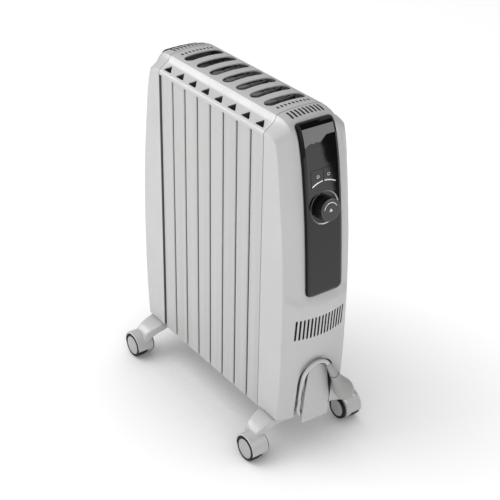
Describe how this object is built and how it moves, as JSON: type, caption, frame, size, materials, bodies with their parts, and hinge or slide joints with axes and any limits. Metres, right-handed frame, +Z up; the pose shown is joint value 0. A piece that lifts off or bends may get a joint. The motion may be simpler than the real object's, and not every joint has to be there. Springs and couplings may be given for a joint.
{
  "type": "oil filled radiator heater",
  "caption": "Finned electric heater body with vented covers, a control panel with a turning knob and keys, cord storage at one end, and castor feet.",
  "frame": {"origin": "On the floor, under the middle of the heater.", "axes": "X along the heater, with the control panel end at +X; Y across its thickness; Z up."},
  "size_m": [0.528, 0.2576, 0.655],
  "materials": {
    "body_white": "satin white paint",
    "cover_white": "satin white plastic",
    "panel_black": "gloss black plastic",
    "knob_black": "satin black plastic",
    "trim_silver": "bright silver",
    "lamp_lens": "dark amber lens",
    "inner_plastic": "moulded plastic",
    "steel": "plain steel",
    "brass": "brass plated",
    "cord_white": "white cord sheath",
    "plug_white": "white moulded plug",
    "hub_grey": "light grey plastic",
    "tyre_black": "black rubber"
  },
  "bodies": {
    "heater": {"control_end_cover": "cover_white", "control_end_plate": "steel", "control_panel": "panel_black", "cord_gland": "inner_plastic", "cord_lead_in": "cord_white", "cord_storage_tongue": "cover_white", "cord_tail": "cord_white", "cord_winding": "cord_white", "element_wire": "inner_plastic", "fin_1": "body_white", "fin_2": "body_white", "fin_3": "body_white", "fin_4": "body_white", "fin_5": "body_white", "fin_6": "body_white", "fin_7": "body_white", "fin_8": "body_white", "front_far_axle": "steel", "front_far_screw": "steel", "front_foot_bracket": "cover_white", "front_near_axle": "steel", "front_near_screw": "steel", "heating_element": "steel", "knob_ring": "trim_silver", "lower_header": "steel", "oil_filler_plug": "brass", "pilot_lamp": "lamp_lens", "plug_body": "plug_white", "plug_pin_left": "steel", "plug_pin_right": "steel", "rear_end_cover": "cover_white", "rear_end_plate": "steel", "rear_far_axle": "steel", "rear_far_screw": "steel", "rear_foot_bracket": "cover_white", "rear_near_axle": "steel", "rear_near_screw": "steel", "rear_panel": "panel_black", "strain_relief": "plug_white", "switch_body_left": "inner_plastic", "switch_body_right": "inner_plastic", "terminal_block": "inner_plastic", "thermal_cutout": "steel", "thermostat_body": "inner_plastic", "thermostat_wire": "inner_plastic", "top_cover": "cover_white", "upper_header": "steel"},
    "knob": {"thermostat_knob": "knob_black", "thermostat_shaft": "steel"},
    "key_left": {"power_button_left": "panel_black"},
    "key_right": {"power_button_right": "panel_black"},
    "front_near_wheel": {"front_near_hub": "hub_grey", "front_near_tyre": "tyre_black"},
    "front_far_wheel": {"front_far_hub": "hub_grey", "front_far_tyre": "tyre_black"},
    "rear_near_wheel": {"rear_near_hub": "hub_grey", "rear_near_tyre": "tyre_black"},
    "rear_far_wheel": {"rear_far_hub": "hub_grey", "rear_far_tyre": "tyre_black"}
  },
  "joints": [
    {"name": "thermostat_turn", "type": "hinge", "parent": "heater", "child": "knob", "pos_m": [0.2407, 0, 0.50223], "axis": [0.9924, 0, 0.1231], "range_deg": [-270, 0]},
    {"name": "key_left_press", "type": "slide", "parent": "heater", "child": "key_left", "axis": [-0.988, 0, -0.1541], "range_m": [0, 0.0025], "stiffness_N_per_m": 400},
    {"name": "key_right_press", "type": "slide", "parent": "heater", "child": "key_right", "axis": [-0.988, 0, -0.1541], "range_m": [0, 0.0025], "stiffness_N_per_m": 400},
    {"name": "front_near_roll", "type": "hinge", "parent": "heater", "child": "front_near_wheel", "pos_m": [0.199, -0.118, 0.0249], "axis": [0, 1, 0], "continuous": true},
    {"name": "front_far_roll", "type": "hinge", "parent": "heater", "child": "front_far_wheel", "pos_m": [0.199, 0.118, 0.0249], "axis": [0, 1, 0], "continuous": true},
    {"name": "rear_near_roll", "type": "hinge", "parent": "heater", "child": "rear_near_wheel", "pos_m": [-0.199, -0.118, 0.0249], "axis": [0, 1, 0], "continuous": true},
    {"name": "rear_far_roll", "type": "hinge", "parent": "heater", "child": "rear_far_wheel", "pos_m": [-0.199, 0.118, 0.0249], "axis": [0, 1, 0], "continuous": true}
  ]
}
